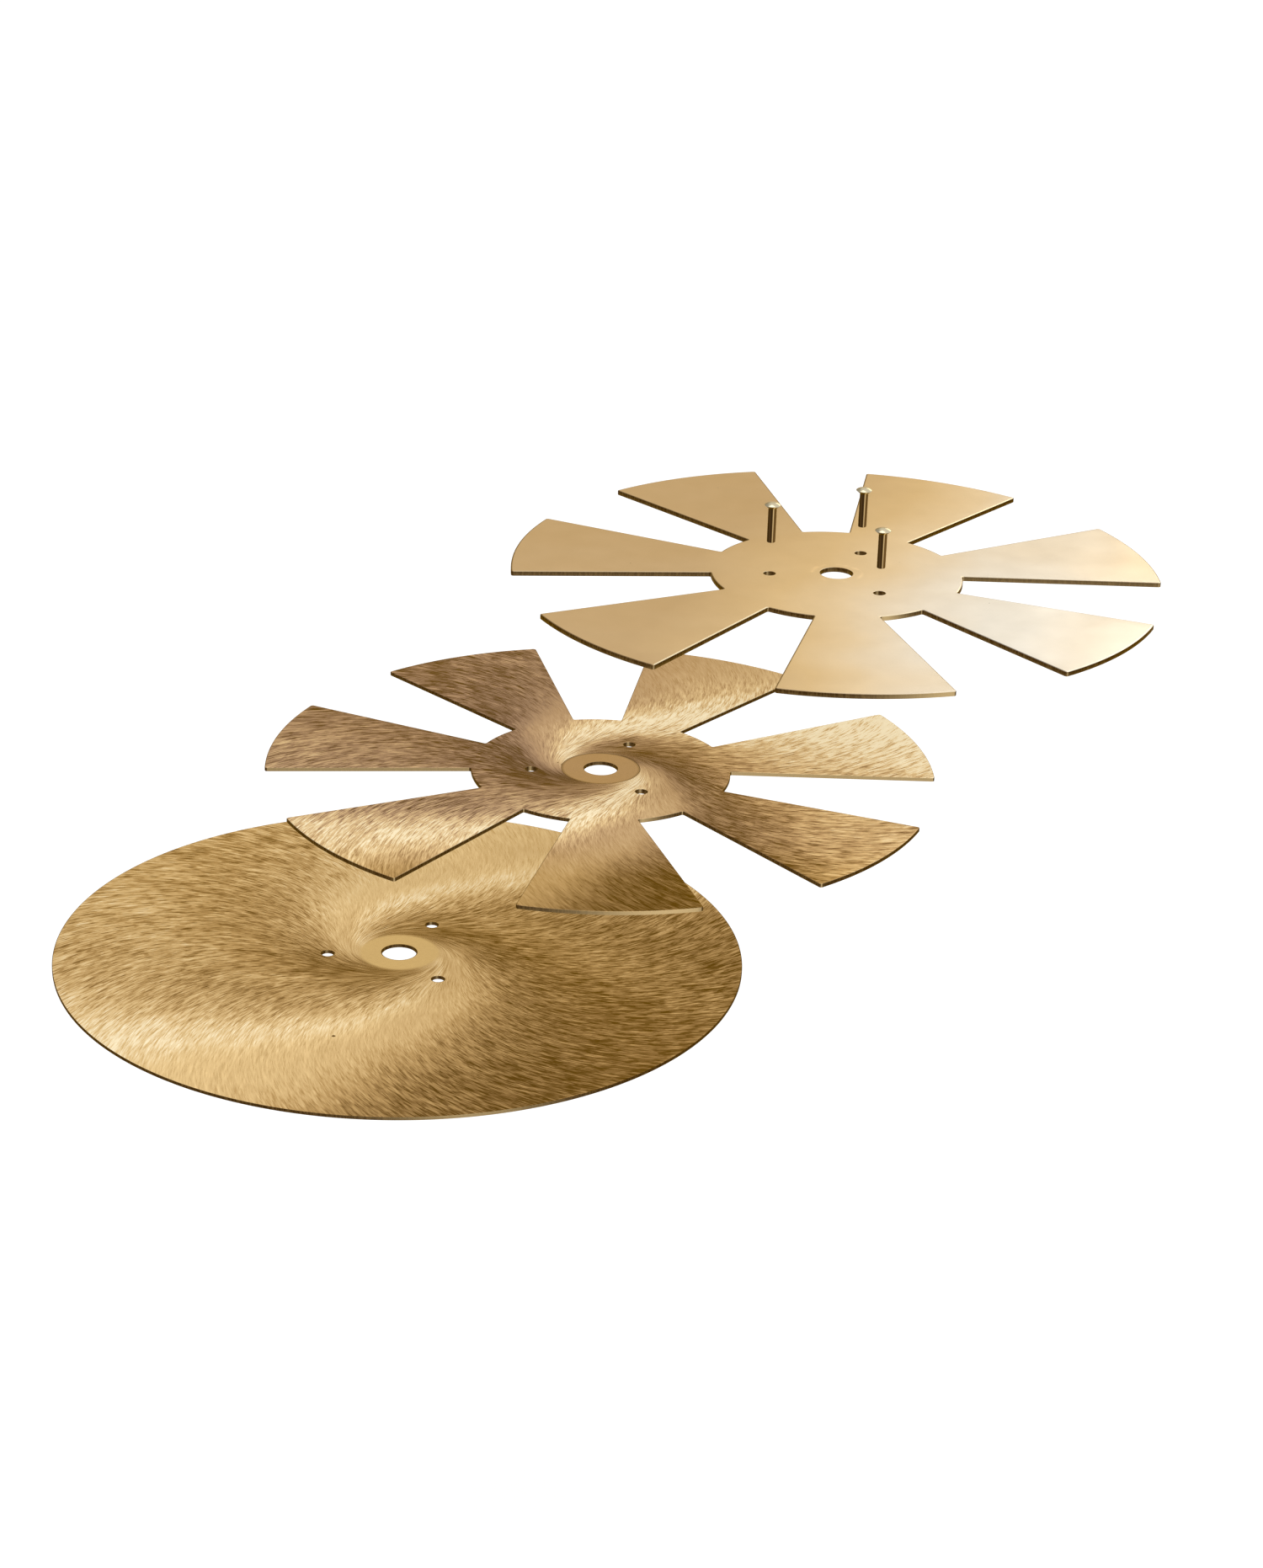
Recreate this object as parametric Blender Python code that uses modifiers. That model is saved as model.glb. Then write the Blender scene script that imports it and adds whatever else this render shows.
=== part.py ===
"""Stacked effects cymbal: a plain disc, two bladed sheets and three loose rivets, held apart above one another.

Lengths are in metres and angles in degrees. +X is to the right, +Y is away from the player and +Z is up.
The origin is the middle of the disc's centre hole, on the disc's underside, where the stand holds the stack.
"""

import math

import bmesh
import bpy
from mathutils import Vector

# Sheets
SHEET_RADIUS = 0.127
DISC_THICKNESS = 0.0012
MIDDLE_THICKNESS = 0.0015
TOP_THICKNESS = 0.0019
EDGE_ROUND = 0.00025
EDGE_ROUND_STEPS = 2

# Blades, cut out of the two upper sheets
BLADE_COUNT = 7
BLADE_TIP_ANGLE = 30.0
BLADE_ROOT_ANGLE = 29.4
HUB_RADIUS = 0.0493
TIP_CORNER_RADIUS = 0.0010
ROOT_CORNER_RADIUS = 0.0007
CORNER_REACH = 2.5
FRONT_BLADE_DIRECTION = -87.3

# Holes
CENTRE_HOLE_RADIUS = 0.00635
RIVET_HOLE_RADIUS = 0.00225
RIVET_CIRCLE_RADIUS = 0.0264
RIVET_DIRECTIONS = {"left": 186.5, "back": 66.5, "front": -53.5}

# Rivets
RIVET_HEAD_RADIUS = 0.00315
RIVET_SHANK_RADIUS = 0.00165
RIVET_DOME_HEIGHT = 0.0010
RIVET_RIM_HEIGHT = 0.00025
RIVET_CONE_HEIGHT = 0.0012
RIVET_LENGTH = 0.0162
RIVET_TAIL_CHAMFER = 0.0003

# How far the pieces stand apart: each sheet from its place on the stack, each rivet's tail over the top sheet
SEAT_GAP = 0.0003
MIDDLE_LIFT = (0.0719, 0.0591, 0.0498)
TOP_LIFT = (0.0890, 0.0654, 0.0561)
RIVET_CLEARANCES = {"left": 0.0130, "back": 0.0112, "front": 0.0104}

# Facets
RIM_STEP_ANGLE = 2.5
HUB_STEP_ANGLE = 4.0
CORNER_STEPS = 2
CENTRE_HOLE_FACETS = 36
RIVET_HOLE_FACETS = 16
RIVET_FACETS = 24
DOME_STEPS = 5
SMOOTH_ANGLE = 40.0
WELD_DISTANCE = 0.00001

# Surface colours, as red, green, blue and alpha, with roughness
GROUND_BRONZE = ((0.56, 0.38, 0.17, 1.0), 0.34)
POLISHED_BRONZE = ((0.72, 0.55, 0.31, 1.0), 0.16)
RIVET_BRASS = ((0.66, 0.54, 0.33, 1.0), 0.22)


def clear_scene():
    """Removes every object that the scene starts with."""
    for thing in list(bpy.data.objects):
        bpy.data.objects.remove(thing, do_unlink=True)


def metal(name, look):
    """Makes one metallic material."""
    colour, roughness = look
    material = bpy.data.materials.new(name)
    material.use_nodes = True
    shader = material.node_tree.nodes["Principled BSDF"]
    shader.inputs["Base Color"].default_value = colour
    shader.inputs["Metallic"].default_value = 1.0
    shader.inputs["Roughness"].default_value = roughness
    material.diffuse_color = colour
    return material


def on_circle(radius, direction):
    """Gives the point at a radius and a direction in degrees."""
    turn = math.radians(direction)
    return (radius * math.cos(turn), radius * math.sin(turn))


def arc(radius, start, end, step):
    """Gives points along an arc about the sheet's centre, both ends included."""
    count = max(2, round(abs(end - start) / step))
    return [on_circle(radius, start + (end - start) * i / count) for i in range(count + 1)]


def circle(centre, radius, facets):
    """Gives the points of a whole circle."""
    points = [on_circle(radius, 360.0 * i / facets) for i in range(facets)]
    return [(centre[0] + x, centre[1] + y) for x, y in points]


def rounded_corner(before, corner, after, radius):
    """Replaces one corner of an outline by a small arc that touches both of its sides."""
    corner = Vector(corner)
    to_before = (Vector(before) - corner).normalized()
    to_after = (Vector(after) - corner).normalized()
    half = to_before.angle(to_after) / 2.0
    reach = radius / math.tan(half)
    centre = corner + (to_before + to_after).normalized() * radius / math.sin(half)
    first = (corner + to_before * reach - centre).normalized()
    last = (corner + to_after * reach - centre).normalized()
    points = [centre + first.slerp(last, i / CORNER_STEPS) * radius for i in range(CORNER_STEPS + 1)]
    return [(point.x, point.y) for point in points]


def blade_outline():
    """Gives the outline of a bladed sheet: tip arc, straight side, hub arc and straight side, blade after blade."""
    pitch = 360.0 / BLADE_COUNT
    tip_half = BLADE_TIP_ANGLE / 2.0
    root_half = BLADE_ROOT_ANGLE / 2.0
    tip_inset = math.degrees(CORNER_REACH * TIP_CORNER_RADIUS / SHEET_RADIUS)
    root_inset = math.degrees(CORNER_REACH * ROOT_CORNER_RADIUS / HUB_RADIUS)
    points = []
    for i in range(BLADE_COUNT):
        direction = FRONT_BLADE_DIRECTION + i * pitch
        tip = arc(SHEET_RADIUS, direction - tip_half + tip_inset, direction + tip_half - tip_inset, RIM_STEP_ANGLE)
        gap_start = direction + root_half
        gap_end = direction + pitch - root_half
        hub = arc(HUB_RADIUS, gap_start + root_inset, gap_end - root_inset, HUB_STEP_ANGLE)
        tip_end = on_circle(SHEET_RADIUS, direction + tip_half)
        root_start = on_circle(HUB_RADIUS, gap_start)
        root_end = on_circle(HUB_RADIUS, gap_end)
        next_tip = on_circle(SHEET_RADIUS, direction + pitch - tip_half)
        next_tip_arc = on_circle(SHEET_RADIUS, direction + pitch - tip_half + tip_inset)
        points += tip
        points += rounded_corner(tip[-1], tip_end, root_start, TIP_CORNER_RADIUS)
        points += rounded_corner(tip_end, root_start, hub[0], ROOT_CORNER_RADIUS)
        points += hub
        points += rounded_corner(hub[-1], root_end, next_tip, ROOT_CORNER_RADIUS)
        points += rounded_corner(root_end, next_tip, next_tip_arc, TIP_CORNER_RADIUS)
    return points


def close_mesh(mesh, shift):
    """Welds the caps of a converted outline, moves it by a height and shades it smooth apart from its sharp edges."""
    shape = bmesh.new()
    shape.from_mesh(mesh)
    bmesh.ops.remove_doubles(shape, verts=shape.verts, dist=WELD_DISTANCE)
    bmesh.ops.translate(shape, verts=shape.verts, vec=(0.0, 0.0, shift))
    bmesh.ops.recalc_face_normals(shape, faces=shape.faces)
    shape.to_mesh(mesh)
    shape.free()
    mesh.shade_smooth()
    mesh.set_sharp_from_angle(angle=math.radians(SMOOTH_ANGLE))


def cut_sheet(name, outline, thickness, material, collection):
    """Cuts a flat sheet with its centre hole and rivet holes, and rounds its edges. Its top face is at z = 0."""
    holes = [circle((0.0, 0.0), CENTRE_HOLE_RADIUS, CENTRE_HOLE_FACETS)]
    for direction in RIVET_DIRECTIONS.values():
        centre = on_circle(RIVET_CIRCLE_RADIUS, direction)
        holes.append(circle(centre, RIVET_HOLE_RADIUS, RIVET_HOLE_FACETS))
    curve = bpy.data.curves.new(name + "_outline", "CURVE")
    curve.dimensions = "2D"
    curve.fill_mode = "BOTH"
    curve.extrude = thickness / 2.0
    for points in [outline] + holes:
        spline = curve.splines.new("POLY")
        spline.points.add(len(points) - 1)
        for point, (x, y) in zip(spline.points, points):
            point.co = (x, y, 0.0, 1.0)
        spline.use_cyclic_u = True
    drawn = bpy.data.objects.new(name + "_outline", curve)
    collection.objects.link(drawn)
    bpy.context.view_layer.update()
    evaluated = drawn.evaluated_get(bpy.context.evaluated_depsgraph_get())
    mesh = bpy.data.meshes.new_from_object(evaluated)
    bpy.data.objects.remove(drawn, do_unlink=True)
    bpy.data.curves.remove(curve)
    close_mesh(mesh, -thickness / 2.0)
    mesh.name = name
    mesh.materials.clear()
    mesh.materials.append(material)
    sheet = bpy.data.objects.new(name, mesh)
    collection.objects.link(sheet)
    bevel = sheet.modifiers.new("rounded edges", "BEVEL")
    bevel.width = EDGE_ROUND
    bevel.segments = EDGE_ROUND_STEPS
    bevel.limit_method = "ANGLE"
    bevel.angle_limit = math.radians(SMOOTH_ANGLE)
    return sheet


def rivet_profile():
    """Gives a rivet's half section as radius and height, from the top of its dome down to its tail, rim at z = 0."""
    dome_radius = (RIVET_HEAD_RADIUS ** 2 + RIVET_DOME_HEIGHT ** 2) / (2.0 * RIVET_DOME_HEIGHT)
    dome_half = math.asin(RIVET_HEAD_RADIUS / dome_radius)
    dome_centre = RIVET_DOME_HEIGHT - dome_radius
    profile = []
    for i in range(DOME_STEPS + 1):
        turn = dome_half * i / DOME_STEPS
        profile.append((dome_radius * math.sin(turn), dome_centre + dome_radius * math.cos(turn)))
    tail = RIVET_DOME_HEIGHT - RIVET_LENGTH
    profile.append((RIVET_HEAD_RADIUS, -RIVET_RIM_HEIGHT))
    profile.append((RIVET_SHANK_RADIUS, -RIVET_RIM_HEIGHT - RIVET_CONE_HEIGHT))
    profile.append((RIVET_SHANK_RADIUS, tail + RIVET_TAIL_CHAMFER))
    profile.append((RIVET_SHANK_RADIUS - RIVET_TAIL_CHAMFER, tail))
    profile.append((0.0, tail))
    return profile


def turned_rivet(name, material, collection):
    """Turns a rivet about its own axis, with its head up."""
    profile = rivet_profile()
    mesh = bpy.data.meshes.new(name)
    edges = [(i, i + 1) for i in range(len(profile) - 1)]
    mesh.from_pydata([(radius, 0.0, height) for radius, height in profile], edges, [])
    mesh.materials.append(material)
    rivet = bpy.data.objects.new(name, mesh)
    collection.objects.link(rivet)
    screw = rivet.modifiers.new("turned", "SCREW")
    screw.steps = RIVET_FACETS
    screw.render_steps = RIVET_FACETS
    screw.use_merge_vertices = True
    screw.merge_threshold = WELD_DISTANCE
    screw.use_smooth_shade = True
    return rivet


def build():
    """Makes the six pieces and stands them apart, each one hung from the piece that it comes down on."""
    clear_scene()
    parts = bpy.data.collections.new("effects_cymbal")
    bpy.context.scene.collection.children.link(parts)
    disc_outline = arc(SHEET_RADIUS, 0.0, 360.0, RIM_STEP_ANGLE)[:-1]

    disc = cut_sheet("bottom_disc", disc_outline, DISC_THICKNESS, metal("disc_bronze", GROUND_BRONZE), parts)
    disc.location = (0.0, 0.0, DISC_THICKNESS)

    middle = cut_sheet(
        "middle_sheet", blade_outline(), MIDDLE_THICKNESS, metal("middle_bronze", GROUND_BRONZE), parts
    )
    middle.parent = disc
    stacked = SEAT_GAP + MIDDLE_THICKNESS
    middle.location = (MIDDLE_LIFT[0], MIDDLE_LIFT[1], stacked + MIDDLE_LIFT[2])

    top = cut_sheet("top_sheet", blade_outline(), TOP_THICKNESS, metal("top_bronze", POLISHED_BRONZE), parts)
    top.parent = middle
    stacked = SEAT_GAP + TOP_THICKNESS
    top.location = (TOP_LIFT[0], TOP_LIFT[1], stacked + TOP_LIFT[2])

    tail = RIVET_LENGTH - RIVET_DOME_HEIGHT
    for place, direction in RIVET_DIRECTIONS.items():
        name = "rivet_" + place
        rivet = turned_rivet(name, metal(name + "_brass", RIVET_BRASS), parts)
        rivet.parent = top
        x, y = on_circle(RIVET_CIRCLE_RADIUS, direction)
        rivet.location = (x, y, RIVET_CLEARANCES[place] + tail)


build()
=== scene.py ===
"""Dresses the stacked effects cymbal: three thin bronze sheets and three loose rivets, drawn apart above one another.

Lengths are in metres, but in mm where a name or a comment says so. +X is to the right, +Y is away from the player and
+Z is up. Run it as a script: it makes every piece, the stage and the camera, in the order of the buttons in its panel.
"""

import math
from typing import NamedTuple

import bpy
import numpy as np
from bpy.props import FloatProperty, FloatVectorProperty, IntProperty, PointerProperty
from mathutils import Matrix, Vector
from mathutils.geometry import delaunay_2d_cdt


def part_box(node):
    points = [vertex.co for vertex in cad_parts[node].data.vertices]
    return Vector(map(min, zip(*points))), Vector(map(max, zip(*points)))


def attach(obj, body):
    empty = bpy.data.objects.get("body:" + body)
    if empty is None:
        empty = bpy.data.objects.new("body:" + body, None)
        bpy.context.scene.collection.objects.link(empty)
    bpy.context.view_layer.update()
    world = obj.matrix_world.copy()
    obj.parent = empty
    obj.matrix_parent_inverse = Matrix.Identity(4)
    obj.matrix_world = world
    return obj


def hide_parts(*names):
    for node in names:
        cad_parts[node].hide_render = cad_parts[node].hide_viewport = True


bl_info = {
    "name": "Effects Cymbal Dresser",
    "version": (1, 0, 0),
    "blender": (4, 5, 0),
    "location": "3D View > Sidebar > Cymbal",
    "description": "Makes the sheets and rivets of a stacked effects cymbal, with their ground and polished finishes",
    "category": "Object",
}

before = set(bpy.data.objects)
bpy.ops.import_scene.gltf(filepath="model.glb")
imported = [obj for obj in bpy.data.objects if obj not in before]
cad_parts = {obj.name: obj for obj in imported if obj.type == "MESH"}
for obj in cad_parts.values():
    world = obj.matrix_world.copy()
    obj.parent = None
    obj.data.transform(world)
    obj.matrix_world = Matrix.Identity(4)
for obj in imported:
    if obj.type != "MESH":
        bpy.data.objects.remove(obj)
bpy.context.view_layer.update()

MM = 0.001
WHITE = (1.0, 1.0, 1.0, 1.0)
RIVET_PLACES = ("left", "back", "front")

# Width of the photograph in pixels, and of the camera's sensor in mm
PHOTO_WIDTH = 1500.0
SENSOR_WIDTH = 36.0
CAMERA_REACH = 60.0

# The lamps' places and sizes, and the point that they are aimed at
KEY_LAMP = ((1.25, 2.05, 1.02), (1.3, 0.9))
TOP_LAMP = ((-0.3, -0.2, 2.6), (2.4, 2.4))
LAMP_AIM = (0.08, 0.06, 0.06)

# What the camera sees of the floor: a matt grey that takes the shadow, and a glow that lifts it to white
FLOOR_SEEN = (0.34, 0.34, 0.34, 1.0)
FLOOR_GLOW = 0.78

# Steps along the outlines, in degrees, and numbers of points
RIM_STEP = 0.5
HUB_STEP = 1.0
CORNER_STEPS = 6
CENTRE_HOLE_POINTS = 120
RIVET_HOLE_POINTS = 56
RING_POINTS = 180
RIVET_POINTS = 72
DOME_ROWS = 13
SHANK_ROWS = 7
TAIL_ROWS = 5

# How far from a corner its fillet's neighbours stand, in corner radii
CORNER_INSET = 2.5

# The upper part of a cut edge: in from the outline and down, in rolls, and the finish value, from face (0) to wall (1)
CUT_EDGE_TOP = (
    (1.25, 0.0, 0.0),
    (1.0, 0.01, 0.2),
    (0.72, 0.04, 0.4),
    (0.42, 0.10, 0.4),
    (0.18, 0.19, 0.5),
    (0.04, 0.32, 0.75),
    (0.0, 0.50, 1.0),
)
# The same for a hole's edge with its burr, in mm
HOLE_EDGE_TOP = (
    (0.9, 0.0, 0.0),
    (0.55, 0.0, 0.0),
    (0.40, -0.02, 0.15),
    (0.26, -0.02, 0.4),
    (0.13, 0.03, 0.55),
    (0.04, 0.13, 0.8),
    (0.0, 0.26, 1.0),
)
# The lower part of a cut edge: in and up from the underside, in mm, and the finish value
CUT_EDGE_UNDER = ((0.0, 0.16, 1.0), (0.05, 0.05, 1.0), (0.18, 0.0, 0.6), (0.75, 0.0, 0.0))
# The same for a bladed sheet's rivet hole, where the punch has left a burr
BURR_UNDER = (
    (0.0, 0.50, 1.0),
    (-0.16, 0.22, 1.0),
    (-0.33, 0.06, 0.8),
    (-0.35, -0.07, 0.4),
    (-0.26, -0.14, 0.4),
    (-0.05, -0.12, 0.7),
    (0.22, 0.0, 0.5),
    (0.75, 0.0, 0.0),
)
# The step down to the middle sheet's plain ring: in from the ring in mm, share of the step, and the finish value
RING_WALL = ((0.6, 0.0, 0.0), (0.1, 0.0, 0.3), (0.0, 0.0, 0.45), (-0.06, 1.0, 0.7), (-0.35, 1.0, 0.0))

# The way a rolled edge faces where its painted glint is brightest, and how quickly that falls off
GLINT_TURN = math.radians(-49.0)
GLINT_NARROW = 4.0
# How much later the wall begins where a shining roll glints most, in finish value
GLINT_REACH = 0.18
# How much of its painted gleam a sheet's wall keeps in the centre hole and in the rivet holes
CENTRE_GLEAM = 0.1
RIVET_GLEAM = 0.6
# The finish values over which the rolled edge comes up and gives way to the wall
ROLL_RISE = (0.05, 0.3)
WALL_RISE = 0.3
WALL_ROUGH = 0.42
# The rolled edge counts as the rim's from so far inside the rim, in mm
RIM_BAND = (1.2, 0.6)

# Tint of metal seen at a grazing angle
GRAZING_TINT = (0.70, 0.55, 0.35, 1.0)

# A ground stroke's slope against the radius r in mm is a polynomial in SPIRAL_RADIUS / r, lowest power first
SPIRAL_RADIUS = 60.0
SPIRAL_SLOPE = (1.89, -2.86, 1.28, -0.27)
LEAST_RADIUS = 5.0
# The layers of strokes: lean from the spiral, how many in a radian, length in mm, pattern offset and weight
STROKES = ((0.10, 210.0, 8.0, 0.0, 0.50), (-0.14, 150.0, 7.0, 41.0, 0.50), (-0.04, 85.0, 7.0, 83.0, 0.24))
# Shares of that number and length near the ring, further out and at the rim, and the radii in mm between these zones
STROKE_ZONES = ((0.22, 0.5), (0.5, 0.8), (1.0, 1.0))
NEAR_ZONE_END = (20.0, 30.0)
MIDDLE_ZONE_END = (44.0, 66.0)
# Blotches: how many in a radian, length in mm and pattern offset
WIDE_BLOTCHES = (13.0, 15.0, 7.0)
SMALL_BLOTCHES = (30.0, 5.0, 19.0)
NICKS = (48.0, 4.5, 31.0)
BLOTCH_WEIGHT = 0.6
# How strongly the blotches, the nicks and the strokes show, and how much of that is gone at the calm turn
BLOTCH_DEPTH, BLOTCH_CALM = 0.10, 0.09
NICK_DEPTH, NICK_CALM = 0.17, 0.16
STROKE_DEPTH, STROKE_CALM = 0.32, 0.26
# How much more the strokes show at the crest and close in, and how deep the dark and pale ones are
CREST_DEPTH, CREST_NARROW = 0.05, 8.0
CLOSE_DEPTH = 0.09
DARK_STROKES, PALE_STROKES = 1.15, 0.75
# Radii in mm over which the arms, the shade and the strokes turn to what they are close in
CLOSE_ARMS = (60.0, 26.0)
CLOSE_SHADE = (46.0, 30.0)
CLOSE_STROKES = (45.0, 20.0)
# The painted shade is bluer where the tone is low, away from the front and on the left
COOL_TONE = (0.9, 0.1)
COOL_BACK = (-105.0, -55.0)
COOL_LEFT = (50.0, -50.0, 0.5)
# A painted shade line in a plain ring, near its edge: its radius, and how far from there it fades, in mm
RING_SHADE_LINE = 14.5
RING_SHADE_WIDTH = (0.2, 0.5)

# How far to each side the painted reflection on the polished sheet goes on paling, in mm
SHEEN_REACH = 115.0
# The rubbed mark round the polished sheet's centre hole: radius and half width in mm, and how much paler it is
RUBBED_RADIUS, RUBBED_WIDTH, RUBBED_TONE = 9.6, 1.5, 0.14

# Painted highlights down a rivet's shank: direction in degrees, how quickly they fall off, and strength
SHANK_HIGHLIGHTS = ((-76.0, 24.0, 0.75), (-50.0, 3.0, 0.30))


class Lobe(NamedTuple):
    """One arm of painted light on a ground face: height times e to the narrow (cos 2a - 1), a the angle to its turn."""

    height: float  # tone gained at its middle
    turn: float  # its turn from the bright direction, in degrees
    narrow: float  # how quickly it falls off
    close: float  # how much more of it there is close to the ring
    back: float  # how much more of it there is 100 mm to the back


class Edge(NamedTuple):
    """How light and shade are painted on one sheet's cut edge."""

    start: float  # finish value at which the wall begins
    rim_shine: float  # how bright the rolled edge is along the rim
    side_shine: float  # how bright the rolled edge is along the blades' sides
    gleam: float  # how bright the wall is where it faces the brightest way
    gleam_turn: float  # the brightest way, in degrees from +X towards +Y
    gleam_narrow: float  # how quickly the wall darkens away from it


class Ground(NamedTuple):
    """How light and shade are painted on one sheet's ground face. Tones run from 0 to 1 over the grain colours."""

    # The first four fields paint light and shade into the tone: a base, even slopes across the sheet and shade close to
    # the ring
    shaded: float  # tone of the metal turned from the light
    rightward: float  # tone gained over 100 mm to the right
    backward: float  # tone gained over 100 mm to the back
    close: float  # tone gained close to the ring
    blue: float  # how much bluer the shaded metal is than the grain colours
    crest: float  # turn at which the strokes show most, in degrees
    calm: float  # turn at which the strokes show least
    calm_narrow: float  # how quickly they show more away from it
    arms: tuple  # the lobes of light
    edge: Edge
    ring_soft: float  # how softly the plain ring meets the ground face, in mm
    ring_shade_line: float  # tone gained on the painted shade line in the plain ring
    pits: tuple  # small dark pits: how far right and back of the middle, and their radius, in mm
    seed: float  # offset of its patterns


DISC_GROUND = Ground(
    shaded=0.338,
    rightward=-0.137,
    backward=0.092,
    close=-0.085,
    blue=1.05,
    crest=-5.0,
    calm=16.0,
    calm_narrow=1.7,
    arms=(
        Lobe(0.387, -2.1, 8.2, -0.08, -0.05),
        Lobe(0.200, 22.9, 5.3, 0.15, -0.40),
        Lobe(0.184, 41.7, 2.55, 0.09, 0.38),
        Lobe(0.139, -58.3, 5.6, -0.07, -0.27),
        Lobe(0.140, -24.4, 5.7, 1.04, -0.29),
    ),
    edge=Edge(0.02, 0.0, 0.0, 0.5, -75.0, 50.0),
    ring_soft=0.8,
    ring_shade_line=0.0,
    pits=((-18.1, -68.9, 0.9),),
    seed=3.0,
)
MIDDLE_GROUND = Ground(
    shaded=0.181,
    rightward=0.142,
    backward=0.155,
    close=-0.134,
    blue=1.95,
    crest=-9.0,
    calm=44.0,
    calm_narrow=2.5,
    arms=(
        Lobe(0.313, 3.7, 1.64, 2.20, -0.13),
        Lobe(0.365, 10.6, 5.1, -1.40, -0.88),
        Lobe(0.262, 47.8, 5.7, -0.25, -0.62),
        Lobe(0.217, -51.6, 2.1, -0.26, -1.29),
        Lobe(0.195, -20.9, 2.4, -1.24, 2.49),
    ),
    edge=Edge(0.26, 0.04, 0.12, 0.85, -78.0, 40.0),
    ring_soft=0.05,
    ring_shade_line=-0.25,
    pits=((-14.9, 2.2, 0.5), (-16.4, 4.0, 0.4), (-13.8, 0.4, 0.4)),
    seed=19.0,
)
TOP_EDGE = Edge(0.22, 0.15, 0.90, 0.75, -72.0, 60.0)


# Settings


def length_setting(name, description, mm):
    """A length, given here in mm."""
    return FloatProperty(name=name, description=description, default=mm * MM, unit="LENGTH", subtype="DISTANCE")


def angle_setting(name, description, degrees):
    """An angle or a direction from +X towards +Y, given here in degrees."""
    return FloatProperty(
        name=name, description=description, default=math.radians(degrees), unit="ROTATION", subtype="ANGLE"
    )


def place_setting(name, description, *mm):
    """A place, given here in mm."""
    return FloatVectorProperty(
        name=name, description=description, size=len(mm), default=[value * MM for value in mm], unit="LENGTH"
    )


def colour_setting(name, description, *colour):
    """A colour, given here as red, green and blue."""
    return FloatVectorProperty(name=name, description=description, size=3, subtype="COLOR", default=colour)


class CymbalSheetSettings(bpy.types.PropertyGroup):
    """Sizes of the three sheets."""

    radius: length_setting("Sheet Radius", "Radius of every sheet", 127.0)
    blade_count: IntProperty(
        name="Blades", description="How many blades the two upper sheets have", default=7, min=3, max=16
    )
    blade_tip_angle: angle_setting("Blade Tip Angle", "Angle that a blade spans at the rim", 30.0)
    blade_root_angle: angle_setting("Blade Root Angle", "Angle that a blade spans at the hub", 29.4)
    front_blade_direction: angle_setting(
        "Front Blade Direction", "Direction of the blade nearest the player, from +X towards +Y", -87.3
    )
    hub_radius: length_setting("Hub Radius", "Radius that the gaps reach in to", 49.3)
    tip_corner: length_setting("Tip Corner", "Radius of a blade's outer corners", 1.0)
    root_corner: length_setting("Root Corner", "Radius of a gap's inner corners", 0.7)
    centre_hole: length_setting("Centre Hole", "Radius of the hole for the stand's rod", 6.35)
    rivet_hole: length_setting("Rivet Hole", "Radius of a rivet's hole", 2.25)
    rivet_circle: length_setting("Rivet Circle", "Radius of the circle of rivet holes", 26.4)
    rivet_turns: FloatVectorProperty(
        name="Rivet Directions",
        description="Directions of the left, back and front rivets, from +X towards +Y",
        size=3,
        default=(math.radians(186.5), math.radians(66.5), math.radians(-53.5)),
        unit="ROTATION",
    )
    middle_place: place_setting("Middle Sheet", "Where the middle sheet is held, across the disc", 71.9, 59.1)
    top_place: place_setting("Top Sheet", "Where the top sheet is held, across the disc", 160.9, 124.5)
    ring_radius: length_setting("Plain Ring", "Radius of the plain ring round the centre hole", 15.0)
    disc_roll: length_setting("Disc Edge Roll", "How far the disc's upper edge is rolled over", 0.20)
    middle_roll: length_setting("Middle Edge Roll", "How far the middle sheet's upper edge is rolled over", 0.42)
    top_roll: length_setting("Top Edge Roll", "How far the top sheet's upper edge is rolled over", 0.70)
    ring_step: length_setting("Ring Step", "How deep the middle sheet's plain ring is cut", 0.06)


class CymbalRivetSettings(bpy.types.PropertyGroup):
    """Sizes of a rivet."""

    head_radius: length_setting("Head Radius", "Radius of the head", 3.15)
    shank_radius: length_setting("Shank Radius", "Radius of the shank", 1.65)
    dome_height: length_setting("Dome Height", "Height of the head's dome", 1.0)
    rim_height: length_setting("Rim Height", "Height of the head's rim", 0.25)
    cone_height: length_setting("Cone Height", "Height of the cone under the head", 1.2)
    tail_round: length_setting("Tail Rounding", "Rounding of the tail", 0.3)


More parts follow.
